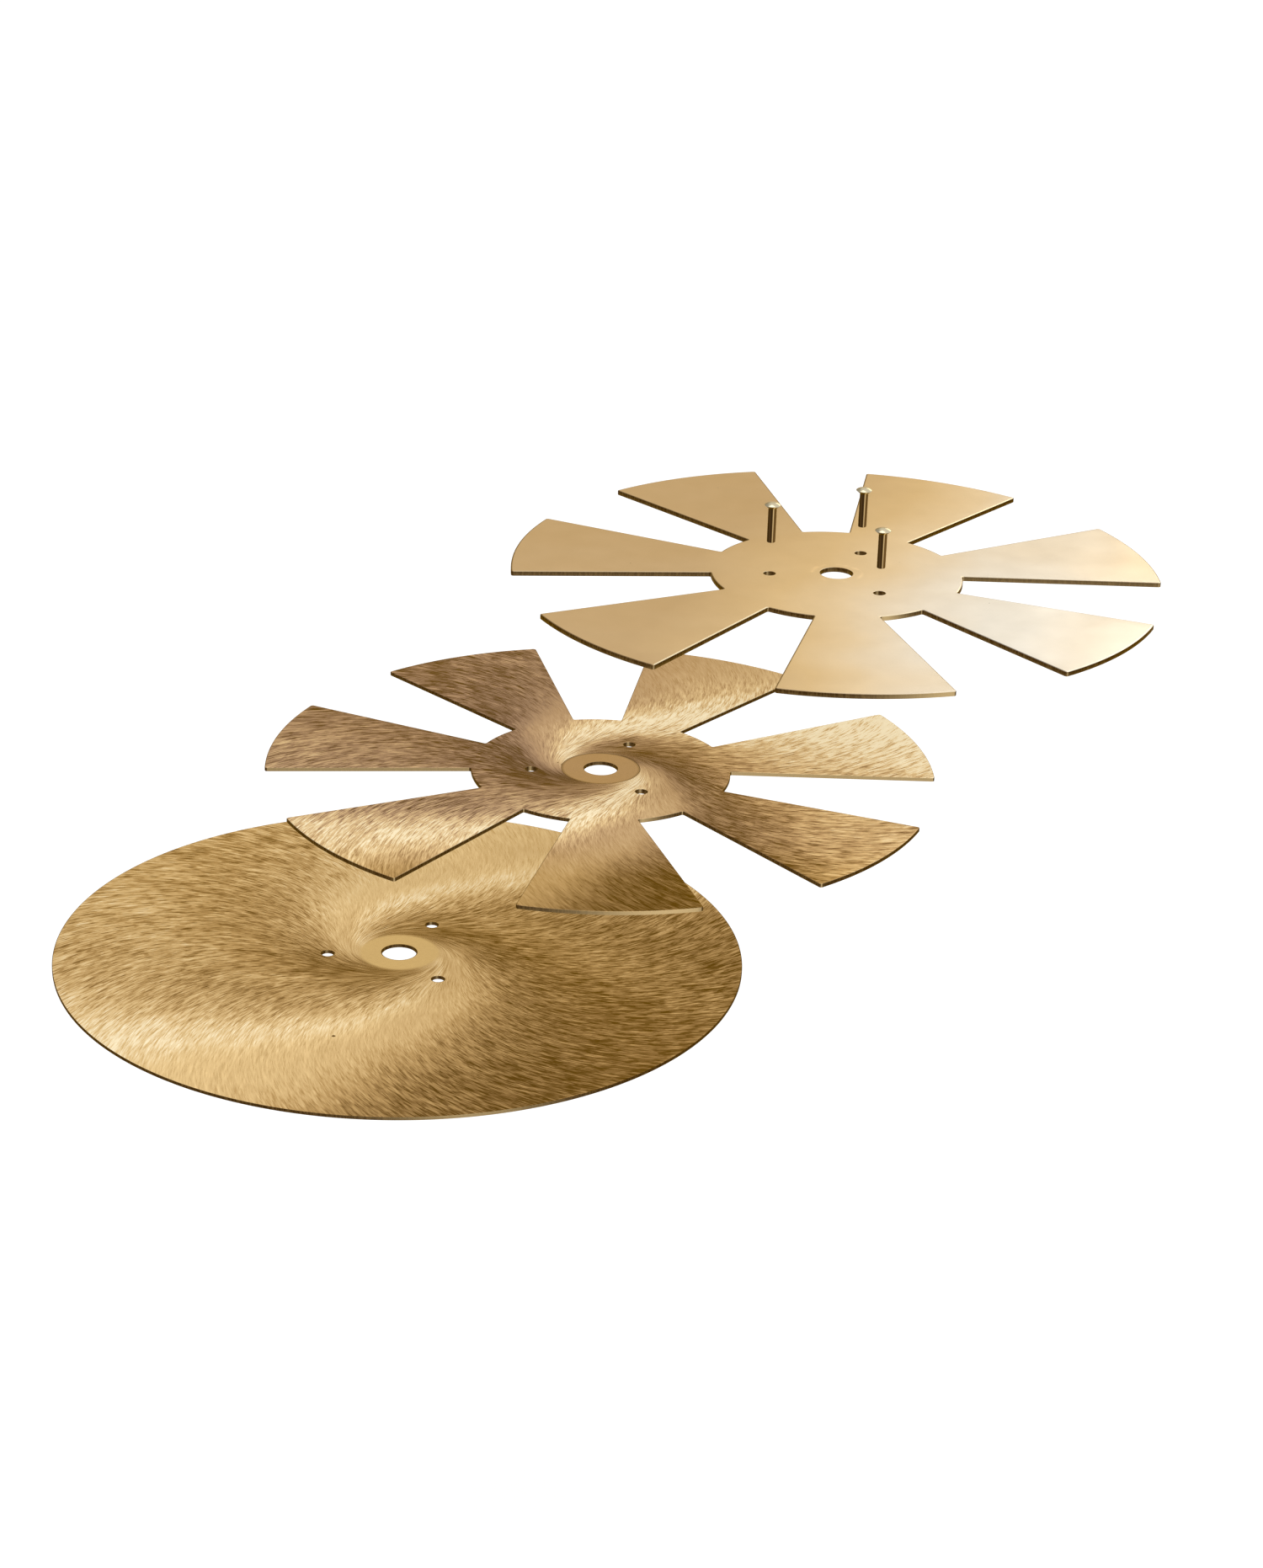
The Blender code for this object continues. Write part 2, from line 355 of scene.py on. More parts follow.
class CymbalFinishSettings(bpy.types.PropertyGroup):
    """Colours and directions of the finishes, with their painted light and shade."""

    # The grain colours are laid along a tone that holds painted light, painted shade and painted highlight
    grain_dark: colour_setting("Grain Dark", "Colour of the deepest grinding strokes", 0.115, 0.060, 0.018)
    grain_shade: colour_setting("Grain Shade", "Colour of the ground metal turned from the light", 0.280, 0.163, 0.064)
    grain_middle: colour_setting("Grain Middle", "Mean colour of the ground metal", 0.525, 0.335, 0.140)
    grain_light: colour_setting("Grain Light", "Colour of the ground metal turned to the light", 0.790, 0.575, 0.290)
    grain_highlight: colour_setting("Grain Bright", "Colour of the brightest strokes", 0.970, 0.850, 0.600)
    disc_ring: colour_setting("Disc Ring", "Colour of the disc's plain ring", 0.660, 0.455, 0.200)
    middle_ring: colour_setting("Middle Ring", "Colour of the middle sheet's plain ring", 0.470, 0.298, 0.150)
    # The polished colours, from left to right, paint the reflection that pales the sheet towards the right
    polish_left: colour_setting("Polish Left", "Colour of the polished sheet on its left", 0.611, 0.442, 0.258)
    polish_middle: colour_setting("Polish Middle", "Colour of the polished sheet's middle", 0.768, 0.571, 0.323)
    polish_pale: colour_setting("Polish Pale", "Colour of the polished sheet right of its middle", 0.855, 0.686, 0.456)
    polish_right: colour_setting("Polish Right", "Colour of the polished sheet on its right", 0.895, 0.865, 0.790)
    # The cut wall is dark, partly as the raw edge's own colour and partly as painted dark reflection
    raw_edge_and_shade: colour_setting("Sheared Edge", "Colour of the raw cut edges", 0.048, 0.021, 0.004)
    # The wall's lighter colour towards its foot and in patches
    lightened: colour_setting("Lightened", "Colour of the filed lower part of a cut edge", 0.210, 0.128, 0.042)
    # Painted highlight on a wall that faces the brightest way
    gleaming: colour_setting("Gleaming", "Colour of a cut edge that faces the light", 0.694, 0.505, 0.245)
    # Painted highlight along the rolled upper edges
    rolled: colour_setting("Rolled Edge", "Colour of the rounded upper edges", 0.950, 0.830, 0.580)
    rivet_head: colour_setting("Rivet Head", "Colour of the rivets' heads", 0.600, 0.530, 0.370)
    # The shank colours hold painted light: painted shade and painted highlight down the shank
    rivet_dark: colour_setting("Rivet Dark", "Colour of the shanks turned from the light", 0.026, 0.013, 0.004)
    rivet_shank: colour_setting("Rivet Shank", "Mean colour of the rivets' shanks", 0.150, 0.078, 0.024)
    rivet_highlight: colour_setting("Rivet Bright", "Colour of the bright lines down the shanks", 0.700, 0.500, 0.230)
    disc_bright_turn: angle_setting(
        "Disc Bright Strokes", "Direction of the disc's strokes that catch the light, from +X towards +Y", 79.0
    )
    middle_bright_turn: angle_setting(
        "Middle Bright Strokes", "Direction of its strokes that catch the light, from +X towards +Y", 62.0
    )


class CymbalStageSettings(bpy.types.PropertyGroup):
    """The floor, the lamps and the camera."""

    floor_height: length_setting("Floor Height", "Height of the floor", -260.0)
    floor_size: length_setting("Floor Size", "Width of the floor", 24000.0)
    floor_colour: colour_setting("Floor Colour", "Colour of the floor", 0.86, 0.86, 0.86)
    ambient: FloatProperty(name="Ambient Light", description="Strength of the light from all round", default=0.75)
    key_power: FloatProperty(
        name="Key Lamp", description="Power of the lamp behind on the right", default=6.0, unit="POWER"
    )
    top_power: FloatProperty(name="Top Lamp", description="Power of the lamp overhead", default=26.0, unit="POWER")
    camera_place: place_setting("Camera", "Where the camera stands", 83.8, -1182.1, 579.7)
    camera_pitch: angle_setting("Camera Pitch", "How far the camera looks down", 23.24)
    camera_roll: angle_setting("Camera Roll", "How far the camera leans", 1.95)
    camera_focus: FloatProperty(
        name="Focal Length", description="Focal length in pixels of the photograph", default=4217.1
    )


# Outlines


def arc(radius, start, end, step):
    """Points on a circle about the sheet's middle, from one direction to another, about one step of angle apart."""
    count = max(2, int(round(abs(end - start) / math.radians(step))))
    turn = np.linspace(start, end, count + 1)
    return radius * np.stack([np.cos(turn), np.sin(turn)], axis=1)


def unit(vector):
    """The vector divided by its own length."""
    return vector / np.linalg.norm(vector)


def fillet(before, corner, after, radius):
    """A small arc that touches both sides of a corner: the first touching point swung to the last about its centre."""
    to_before, to_after = unit(before - corner), unit(after - corner)
    half = math.acos(float(to_before @ to_after)) / 2.0
    centre = corner + unit(to_before + to_after) * radius / math.sin(half)
    first = unit(corner + to_before * radius / math.tan(half) - centre)
    last = unit(corner + to_after * radius / math.tan(half) - centre)
    swing = math.pi - 2.0 * half
    part = np.linspace(0.0, 1.0, CORNER_STEPS + 1)[:, None]
    return centre + radius * (np.sin((1.0 - part) * swing) * first + np.sin(part * swing) * last) / math.sin(swing)


def on_circle(radius, turn):
    """The point at a radius and a direction."""
    return np.array([radius * math.cos(turn), radius * math.sin(turn)])


def round_outline(sizes):
    """The disc's rim, anticlockwise."""
    return arc(sizes.radius, 0.0, 2.0 * math.pi, RIM_STEP)[:-1]


def bladed_outline(sizes):
    """Anticlockwise outline of a bladed sheet: tip arc, straight side, hub arc and straight side, blade after blade."""
    pitch = 2.0 * math.pi / sizes.blade_count
    tip, root = sizes.blade_tip_angle / 2.0, sizes.blade_root_angle / 2.0
    tip_inset = CORNER_INSET * sizes.tip_corner / sizes.radius
    root_inset = CORNER_INSET * sizes.root_corner / sizes.hub_radius
    runs = []
    for blade in range(sizes.blade_count):
        turn = sizes.front_blade_direction + blade * pitch
        rim = arc(sizes.radius, turn - tip + tip_inset, turn + tip - tip_inset, RIM_STEP)
        hub = arc(sizes.hub_radius, turn + root + root_inset, turn + pitch - root - root_inset, HUB_STEP)
        tip_end, root_start = on_circle(sizes.radius, turn + tip), on_circle(sizes.hub_radius, turn + root)
        root_end = on_circle(sizes.hub_radius, turn + pitch - root)
        next_tip = on_circle(sizes.radius, turn + pitch - tip)
        next_rim = on_circle(sizes.radius, turn + pitch - tip + tip_inset)
        runs += [
            rim,
            fillet(rim[-1], tip_end, root_start, sizes.tip_corner),
            fillet(tip_end, root_start, hub[0], sizes.root_corner),
            hub,
            fillet(hub[-1], root_end, next_tip, sizes.root_corner),
            fillet(root_end, next_tip, next_rim, sizes.tip_corner),
        ]
    return np.concatenate(runs)


def hole_outline(centre, radius, count):
    """A hole's edge, clockwise, so that the metal lies on its left as it does along an outline."""
    turn = -2.0 * math.pi * np.arange(count) / count
    return np.asarray(centre) + radius * np.stack([np.cos(turn), np.sin(turn)], axis=1)


# Surfaces


class SheetSkin:
    """Gathers one sheet's bands and flat faces, with the finish value, painted gleam and painted glint of each point.
    """

    def __init__(self, edge):
        self.edge = edge
        self.points, self.values, self.gleams, self.glints, self.faces, self.count = [], [], [], [], [], 0

    def band(self, outline, profile, gleam):
        """A profile carried along a closed outline.

        Every profile row moves the outline into the metal by the row's inset, along the line that halves each corner,
        and sets it at the row's height. A wall's painted gleam is e to the narrow (cos a - 1), where a is the angle
        from the way it faces to the brightest way, and the rolled edge's painted glint follows the same rule about its
        own turn. Returns the point numbers, one row for each profile row.
        """
        ahead = np.roll(outline, -1, axis=0) - outline
        ahead /= np.linalg.norm(ahead, axis=1, keepdims=True)
        inward = np.stack([-ahead[:, 1], ahead[:, 0]], axis=1)
        previous = np.roll(inward, 1, axis=0)
        mitre = (inward + previous) / (1.0 + np.sum(inward * previous, axis=1, keepdims=True))
        rows = np.asarray(profile, dtype=float)
        flat = outline[None] + rows[:, 0, None, None] * mitre[None]
        height = np.broadcast_to(rows[:, 1, None, None], flat.shape[:2] + (1,))
        numbers = self.count + np.arange(len(rows) * len(outline)).reshape(len(rows), len(outline))
        self.points.append(np.concatenate([flat, height], axis=2).reshape(-1, 3))
        self.values.append(np.repeat(rows[:, 2], len(outline)))
        faces_out = np.arctan2(-mitre[:, 1], -mitre[:, 0])
        off_turn = np.cos(faces_out - math.radians(self.edge.gleam_turn)) - 1.0
        self.gleams.append(np.tile(gleam * np.exp(self.edge.gleam_narrow * off_turn), len(rows)))
        self.glints.append(np.tile(np.exp(GLINT_NARROW * (np.cos(faces_out - GLINT_TURN) - 1.0)), len(rows)))
        self.count += numbers.size
        here, after = numbers, np.roll(numbers, -1, axis=1)
        quads = np.stack([here[:-1], here[1:], after[1:], after[:-1]], axis=-1).reshape(-1, 4)
        self.faces += quads.tolist()
        return numbers

    def fill(self, loops, upward):
        """A flat face between loops of points already made, the outer one first, triangulated.

        The triangles inside a hole are left out: they are those with all three corners on that hole's loop.
        """
        points = np.concatenate(self.points)
        numbers = np.concatenate(loops)
        loop_of = np.repeat(np.arange(len(loops)), [len(loop) for loop in loops])
        edges, start = [], 0
        for loop in loops:
            here = start + np.arange(len(loop))
            edges += np.stack([here, np.roll(here, -1)], axis=1).tolist()
            start += len(loop)
        flat = points[numbers, :2]
        found = delaunay_2d_cdt([tuple(p) for p in flat.tolist()], edges, [], 1, 1e-9)
        owner = np.array([first[0] for first in found[3]])[np.array(found[2])]
        corners = loop_of[owner]
        in_hole = (corners == corners[:, :1]).all(axis=1) & (corners[:, 0] > 0)
        triangles = numbers[owner[~in_hole]]
        side = points[triangles]
        turned = np.cross(side[:, 1] - side[:, 0], side[:, 2] - side[:, 0])[:, 2] > 0.0
        wrong = turned != upward
        triangles[wrong] = triangles[wrong][:, ::-1]
        self.faces += triangles.tolist()

    def mesh(self, name, place):
        """Sets the points down at the sheet's place, keeps the finish values as attributes and shades it smooth."""
        mesh = bpy.data.meshes.new(name)
        points = np.concatenate(self.points) + np.asarray(place)
        mesh.from_pydata(points.tolist(), [], self.faces)
        for kind, values in (("edge", self.values), ("gleam", self.gleams), ("glint", self.glints)):
            mesh.attributes.new(kind, "FLOAT", "POINT").data.foreach_set("value", np.concatenate(values))
        mesh.shade_smooth()
        mesh.update()
        return mesh


def edge_profile(top, scale, thickness, under=CUT_EDGE_UNDER, sunk=0.0):
    """A whole cut edge in metres: the upper rows, sunk below the face, then the under rows, up from the underside."""
    upper = [(inset * scale, -down * scale - sunk, value) for inset, down, value in top]
    lower = [(inset * MM, up * MM - thickness, value) for inset, up, value in under]
    return upper + lower


def sheet_mesh(name, outline, roll, edge, thickness, place, ring_step, rivet_under=CUT_EDGE_UNDER):
    """A flat sheet: its cut edge and its holes' edges are bands, joined by flat faces. Its top face is at z = 0."""
    sizes = bpy.context.scene.cymbal_sheets
    skin = SheetSkin(edge)
    rim = skin.band(outline, edge_profile(CUT_EDGE_TOP, roll, thickness), 1.0)
    centre_hole = hole_outline((0.0, 0.0), sizes.centre_hole, CENTRE_HOLE_POINTS)
    centre = skin.band(centre_hole, edge_profile(HOLE_EDGE_TOP, MM, thickness, sunk=ring_step), CENTRE_GLEAM)
    rivets = []
    for turn in sizes.rivet_turns:
        middle = on_circle(sizes.rivet_circle, turn)
        hole = hole_outline(middle, sizes.rivet_hole, RIVET_HOLE_POINTS)
        rivets.append(skin.band(hole, edge_profile(HOLE_EDGE_TOP, MM, thickness, rivet_under), RIVET_GLEAM))
    if ring_step > 0.0:
        wall = [(inset * MM, -share * ring_step, value) for inset, share, value in RING_WALL]
        ring = skin.band(hole_outline((0.0, 0.0), sizes.ring_radius, RING_POINTS), wall, 0.0)
        skin.fill([rim[0], ring[0]] + [rivet[0] for rivet in rivets], True)
        skin.fill([ring[-1], centre[0]], True)
    else:
        skin.fill([rim[0], centre[0]] + [rivet[0] for rivet in rivets], True)
    skin.fill([rim[-1], centre[-1]] + [rivet[-1] for rivet in rivets], False)
    return skin.mesh(name, place)


def rivet_profile(sizes, length):
    """Half section of a rivet as radius, height and finish value: dome, rim, cone, shank and rounded tail."""
    ball = (sizes.head_radius ** 2 + sizes.dome_height ** 2) / (2.0 * sizes.dome_height)
    turn = np.linspace(0.0, math.asin(sizes.head_radius / ball), DOME_ROWS + 1)[1:]
    rows = [(ball * math.sin(t), sizes.dome_height - ball + ball * math.cos(t), 0.0) for t in turn]
    radius, rim = sizes.head_radius, sizes.rim_height
    rows[-1] = (radius - 0.04 * MM, rows[-1][1] + 0.01 * MM, 0.1)
    rows += [(radius, -0.3 * rim, 0.3), (radius, -0.75 * rim, 0.4), (radius - 0.08 * MM, -rim, 0.5)]
    shank, cone = sizes.shank_radius, sizes.cone_height
    for part in (0.15, 0.4, 0.65, 0.85):
        rows.append((radius + (shank - radius) * part ** 0.9, -rim - cone * part, 0.7))
    rows += [(shank, -rim - cone, 0.9), (shank, -rim - cone - 0.4 * MM, 1.0)]
    tail = sizes.dome_height - length
    inset = sizes.tail_round
    rows += [(shank, z, 1.0) for z in np.linspace(-rim - cone - 2.0 * MM, tail + inset, SHANK_ROWS)]
    for t in np.linspace(0.0, math.pi / 2.0, TAIL_ROWS + 1)[1:]:
        rows.append((shank - inset + inset * math.cos(t), tail + inset - inset * math.sin(t), 1.0))
    return sizes.dome_height, np.array(rows), tail


def rivet_mesh(name, place, length):
    """The half section turned about the rivet's axis: point (i, j) is at radius i and turn j, with a point per pole."""
    crown, rows, tail = rivet_profile(bpy.context.scene.cymbal_rivets, length)
    turn = 2.0 * math.pi * np.arange(RIVET_POINTS) / RIVET_POINTS
    grid = np.stack(
        [
            rows[:, 0, None] * np.cos(turn),
            rows[:, 0, None] * np.sin(turn),
            np.broadcast_to(rows[:, 1, None], (len(rows), RIVET_POINTS)),
        ],
        axis=-1,
    )
    points = np.concatenate([grid.reshape(-1, 3), [[0.0, 0.0, crown], [0.0, 0.0, tail]]]) + np.asarray(place)
    values = np.concatenate([np.repeat(rows[:, 2], RIVET_POINTS), [0.0, 1.0]])
    here = np.arange(len(rows) * RIVET_POINTS).reshape(len(rows), RIVET_POINTS)
    after = np.roll(here, -1, axis=1)
    quads = np.stack([here[:-1], here[1:], after[1:], after[:-1]], axis=-1).reshape(-1, 4)
    top, bottom = here.size, here.size + 1
    crown_fan = np.stack([np.full(RIVET_POINTS, top), here[0], after[0]], axis=1)
    tail_fan = np.stack([np.full(RIVET_POINTS, bottom), after[-1], here[-1]], axis=1)
    mesh = bpy.data.meshes.new(name)
    mesh.from_pydata(points.tolist(), [], quads.tolist() + crown_fan.tolist() + tail_fan.tolist())
    mesh.attributes.new("edge", "FLOAT", "POINT").data.foreach_set("value", values)
    mesh.shade_smooth()
    mesh.update()
    return mesh


# Finishes


class Finish:
    """One material, with short calls for the nodes that a formula needs, and its place in mm from a piece's centre."""

    def __init__(self, name, centre):
        self.material = bpy.data.materials.new(name)
        self.material.use_nodes = True
        self.tree = self.material.node_tree
        self.shader = self.tree.nodes["Principled BSDF"]
        self.shader.inputs["Metallic"].default_value = 1.0
        self.shader.inputs["Specular Tint"].default_value = GRAZING_TINT
        source = self.node("ShaderNodeTexCoord").outputs["Object"]
        made = self.node("ShaderNodeMapping")
        self.put(made.inputs["Vector"], source)
        made.inputs["Location"].default_value = [-value / MM for value in centre]
        made.inputs["Scale"].default_value = (1.0 / MM,) * 3
        split = self.node("ShaderNodeSeparateXYZ")
        self.put(split.inputs[0], made.outputs[0])
        self.where = made.outputs[0]
        self.x, self.y, self.z = split.outputs
        self.radius = self.distance(self.x, self.y)

    def put(self, socket, value):
        """Joins a socket to another node's output, or writes a constant on it."""
        if isinstance(value, bpy.types.NodeSocket):
            self.tree.links.new(value, socket)
        else:
            socket.default_value = value

    def node(self, kind, **settings):
        """Adds a node and sets its properties."""
        made = self.tree.nodes.new(kind)
        for name, value in settings.items():
            setattr(made, name, value)
        return made

    def math(self, operation, *values):
        """One sum of numbers."""
        made = self.node("ShaderNodeMath", operation=operation)
        for socket, value in zip(made.inputs, values):
            self.put(socket, value)
        return made.outputs[0]

    def add(self, a, b):
        return self.math("ADD", a, b)

    def times(self, a, b):
        return self.math("MULTIPLY", a, b)

    def scaled(self, value, gain, offset):
        """value times gain plus offset."""
        return self.math("MULTIPLY_ADD", value, gain, offset)

    def distance(self, x, y):
        """The square root of x x + y y."""
        return self.math("SQRT", self.add(self.times(x, x), self.times(y, y)))

    def polynomial(self, value, factors):
        """The factors times the powers of the value, lowest power first, all added up."""
        total = factors[-1]
        for factor in reversed(factors[:-1]):
            total = self.scaled(value, total, factor)
        return total

    def lobe(self, angle, turn, narrow):
        """e to the narrow (cos 2a - 1), where a is how far the angle is from the turn."""
        swing = self.math("COSINE", self.scaled(angle, 2.0, -2.0 * turn))
        return self.math("EXPONENT", self.scaled(swing, narrow, -narrow))

    def ramp(self, value, low, high, to_low=0.0, to_high=1.0, smooth=True):
        """Carries low..high over to to_low..to_high and holds it there."""
        made = self.node("ShaderNodeMapRange", interpolation_type="SMOOTHSTEP" if smooth else "LINEAR")
        made.clamp = True
        for socket, given in zip(made.inputs, (value, low, high, to_low, to_high)):
            self.put(socket, given)
        return made.outputs[0]

    def blend(self, factor, a, b):
        """Number a where the factor is 0 and b where it is 1."""
        made = self.node("ShaderNodeMix", data_type="FLOAT")
        for index, value in ((0, factor), (2, a), (3, b)):
            self.put(made.inputs[index], value)
        return made.outputs[0]

    def tint(self, factor, a, b, mode="MIX"):
        """Colour a where the factor is 0 and b where it is 1."""
        made = self.node("ShaderNodeMix", data_type="RGBA", blend_type=mode)
        for index, value in ((0, factor), (6, a), (7, b)):
            if index and not isinstance(value, bpy.types.NodeSocket):
                value = tuple(value) + (1.0,)
            self.put(made.inputs[index], value)
        return made.outputs[2]

    def shaded(self, colour, tone):
        """A colour times a number."""
        return self.tint(1.0, colour, self.vector(tone, tone, tone), "MULTIPLY")

    def vector(self, x, y, z):
        """A vector from three numbers."""
        made = self.node("ShaderNodeCombineXYZ")
        for socket, value in zip(made.inputs, (x, y, z)):
            self.put(socket, value)
        return made.outputs[0]

    def round_about(self, angle, count, along):
        """A pattern place that closes on itself round the centre and has that many units in one radian."""
        across, ahead = self.math("COSINE", angle), self.math("SINE", angle)
        return self.vector(self.times(across, count), self.times(ahead, count), along)

    def noise(self, where, scale, detail=2.0, rough=0.55):
        """Smooth noise about 0.5 at a place."""
        made = self.node("ShaderNodeTexNoise")
        self.put(made.inputs["Vector"], where)
        for name, value in (("Scale", scale), ("Detail", detail), ("Roughness", rough)):
            made.inputs[name].default_value = value
        return made.outputs["Fac"]

    def value(self, name):
        """The piece's own attribute."""
        return self.node("ShaderNodeAttribute", attribute_name=name, attribute_type="GEOMETRY").outputs["Fac"]

    def colours(self, value, stops):
        """A run of colours along a number from 0 to 1."""
        made = self.node("ShaderNodeValToRGB")
        elements = made.color_ramp.elements
        while len(elements) < len(stops):
            elements.new(0.5)
        for element, (position, colour) in zip(elements, stops):
            element.position = position
            element.color = tuple(colour) + (1.0,)
        self.put(made.inputs[0], value)
        return made.outputs[0]

    def bump(self, height, distance, strength):
        """Small relief from a height."""
        made = self.node("ShaderNodeBump")
        made.inputs["Distance"].default_value = distance
        made.inputs["Strength"].default_value = strength
        self.put(made.inputs["Height"], height)
        self.put(self.shader.inputs["Normal"], made.outputs[0])

    def cut_edges(self, colour, rough, edge):
        """Lays the rolled edge, with its painted highlight, and the cut wall over a face's colour and roughness, and
        writes both.

        The wall is dark, partly as the raw edge's own colour and partly as painted dark reflection. It is lighter in
        patches and towards its foot, and it turns golden by its painted gleam, a painted highlight.
        """
        looks, sizes = bpy.context.scene.cymbal_finish, bpy.context.scene.cymbal_sheets
        value, glint = self.value("edge"), self.value("glint")
        band_start, band_end = (sizes.radius / MM - inside for inside in RIM_BAND)
        shine = self.ramp(self.radius, band_start, band_end, edge.side_shine, edge.rim_shine)
        # Painted highlight along the rolled edge, stronger on the blades' sides than on the rim
        rolled = self.times(self.times(self.ramp(value, *ROLL_RISE), shine), glint)
        start = self.scaled(glint, GLINT_REACH * edge.side_shine, edge.start)
        walled = self.ramp(value, start, self.add(start, WALL_RISE))
        marks = self.noise(self.vector(self.times(self.x, 1.5), self.times(self.y, 1.5), self.times(self.z, 0.3)), 1.0)
        foot = self.ramp(self.z, -0.6, -2.2, 0.0, 0.4)
        lighter = self.add(foot, self.ramp(marks, 0.42, 0.70, 0.0, 0.4, smooth=False))
        # The dark wall, partly painted dark reflection, lighter towards its foot and in patches
        wall = self.tint(lighter, looks.raw_edge_and_shade, looks.lightened)
        # Painted gleam: the wall turns golden where it faces the brightest way
        wall = self.tint(self.times(self.value("gleam"), edge.gleam), wall, looks.gleaming)
        colour = self.tint(walled, self.tint(rolled, colour, looks.rolled), wall)
        self.put(self.shader.inputs["Base Color"], colour)
        self.put(self.shader.inputs["Roughness"], self.blend(walled, rough, WALL_ROUGH))


class GroundFinish(Finish):
    """Swirl-ground bronze.

    A stroke leaves the middle on a spiral. With u = 60 mm / r, its slope against the radius is the polynomial
    1.89 - 2.86 u + 1.28 u^2 - 0.27 u^3, so it stands at the angle 1.89 ln(1/u) + 2.86 u - 0.64 u^2 + 0.09 u^3. The
    polar angle less that numbers the strokes, and noise on that number, drawn out along the radius, draws them. How
    bright the metal is painted depends on where a stroke points: five smooth lobes about the bright direction make the
    arms, a painted highlight, over painted slopes of light and shade across the sheet and painted shade close in.
    """

    def __init__(self, name, centre, ground, bright_turn, ring_colour):
        super().__init__(name, centre)
        self.ground, self.bright_turn = ground, bright_turn
        self.radius = self.math("MAXIMUM", self.radius, LEAST_RADIUS)
        self.angle = self.math("ARCTAN2", self.y, self.x)
        near = self.math("DIVIDE", SPIRAL_RADIUS, self.radius)
        self.far_log = self.math("LOGARITHM", self.math("DIVIDE", self.radius, SPIRAL_RADIUS), math.e)
        first, *others = SPIRAL_SLOPE
        summed = [-factor / power for power, factor in enumerate(others, 1)]
        self.spiral = self.polynomial(near, [self.times(self.far_log, first)] + summed)
        self.number = self.math("SUBTRACT", self.angle, self.spiral)
        heading = self.add(self.angle, self.math("ARCTANGENT", self.polynomial(near, SPIRAL_SLOPE)))
        self.turned = self.add(heading, self.scaled(self.noise(self.where, 0.02, 1.0), 0.3, -0.15))
        fine = 0.0
        for *stroke, weight in STROKES:
            fine = self.scaled(self.strokes(*stroke), weight, fine)
        colour = self.pitted(self.coloured(self.tone(fine)))
        ring = bpy.context.scene.cymbal_sheets.ring_radius / MM
        on_grain = self.ramp(self.radius, ring - 2.0 * ground.ring_soft, ring + ground.ring_soft)
        colour = self.tint(on_grain, self.plain_ring(ring_colour), colour)
        rough = self.blend(on_grain, 0.24, self.scaled(fine, 0.07, 0.33))
        self.cut_edges(colour, rough, ground.edge)
        self.shader.inputs["Anisotropic"].default_value = 0.7
        along = self.vector(self.math("COSINE", heading), self.math("SINE", heading), 0.0)
        self.put(self.shader.inputs["Tangent"], along)
        self.bump(self.times(fine, on_grain), 0.02 * MM, 0.35)

    def strokes(self, lean, count, length, offset):
        """Strokes that lean to one side of the spiral, about as wide near the hub as at the rim, from -1 to 1."""
        number = self.math("SUBTRACT", self.angle, self.add(self.spiral, self.times(self.far_log, lean)))
        layers = []
        for part, short in STROKE_ZONES:
            along = self.scaled(self.radius, 1.0 / (length * short), self.ground.seed + offset)
            layers.append(self.noise(self.round_about(number, part * count, along), 1.0, 2.0, 0.6))
        mixed = self.blend(self.ramp(self.radius, *NEAR_ZONE_END), layers[0], layers[1])
        mixed = self.blend(self.ramp(self.radius, *MIDDLE_ZONE_END), mixed, layers[2])
        return self.ramp(mixed, 0.39, 0.61, -1.0, 1.0, smooth=False)

    def blotches(self, count, length, offset):
        """Soft blotches along the strokes, from -1 to 1."""
        along = self.scaled(self.radius, 1.0 / length, self.ground.seed + offset)
        patch = self.noise(self.round_about(self.number, count, along), 1.0)
        return self.ramp(patch, 0.34, 0.66, -1.0, 1.0, smooth=False)

    def headed(self, turn, narrow):
        """The lobe of strokes that point near a turn from the bright direction, in degrees."""
        return self.lobe(self.turned, self.bright_turn + math.radians(turn), narrow)

    def tone(self, fine):
        """How bright the metal is: painted even slopes of light to the sides, painted shade close in, the painted arms,
        then the blotches, the nicks and the strokes.
        """
        ground = self.ground
        close = self.ramp(self.radius, *CLOSE_ARMS)
        # Painted light and shade: even slopes across the sheet, painted shade close to the ring, then the arms of
        # painted highlight
        tone = self.scaled(self.x, ground.rightward / 100.0, ground.shaded)
        tone = self.scaled(self.y, ground.backward / 100.0, tone)
        tone = self.scaled(self.ramp(self.radius, *CLOSE_SHADE), ground.close, tone)
        for arm in ground.arms:
            share = self.times(self.scaled(close, arm.close, 1.0), self.scaled(self.y, arm.back / 100.0, 1.0))
            height = self.times(self.headed(arm.turn, arm.narrow), arm.height)
            tone = self.scaled(height, share, tone)
        calm = self.headed(ground.calm, ground.calm_narrow)
        blotches = self.times(self.add(self.blotches(*WIDE_BLOTCHES), self.blotches(*SMALL_BLOTCHES)), BLOTCH_WEIGHT)
        tone = self.scaled(blotches, self.scaled(calm, -BLOTCH_CALM, BLOTCH_DEPTH), tone)
        nicks = self.ramp(self.blotches(*NICKS), 0.1, 0.7)
        tone = self.scaled(nicks, self.scaled(calm, NICK_CALM, -NICK_DEPTH), tone)
        depth = self.scaled(self.headed(ground.crest, CREST_NARROW), CREST_DEPTH, STROKE_DEPTH)
        depth = self.scaled(calm, -STROKE_CALM, depth)
        depth = self.add(depth, self.ramp(self.radius, *CLOSE_STROKES, 0.0, CLOSE_DEPTH))
        skewed = self.math("MINIMUM", self.times(fine, DARK_STROKES), self.times(fine, PALE_STROKES))
        return self.scaled(skewed, depth, tone)

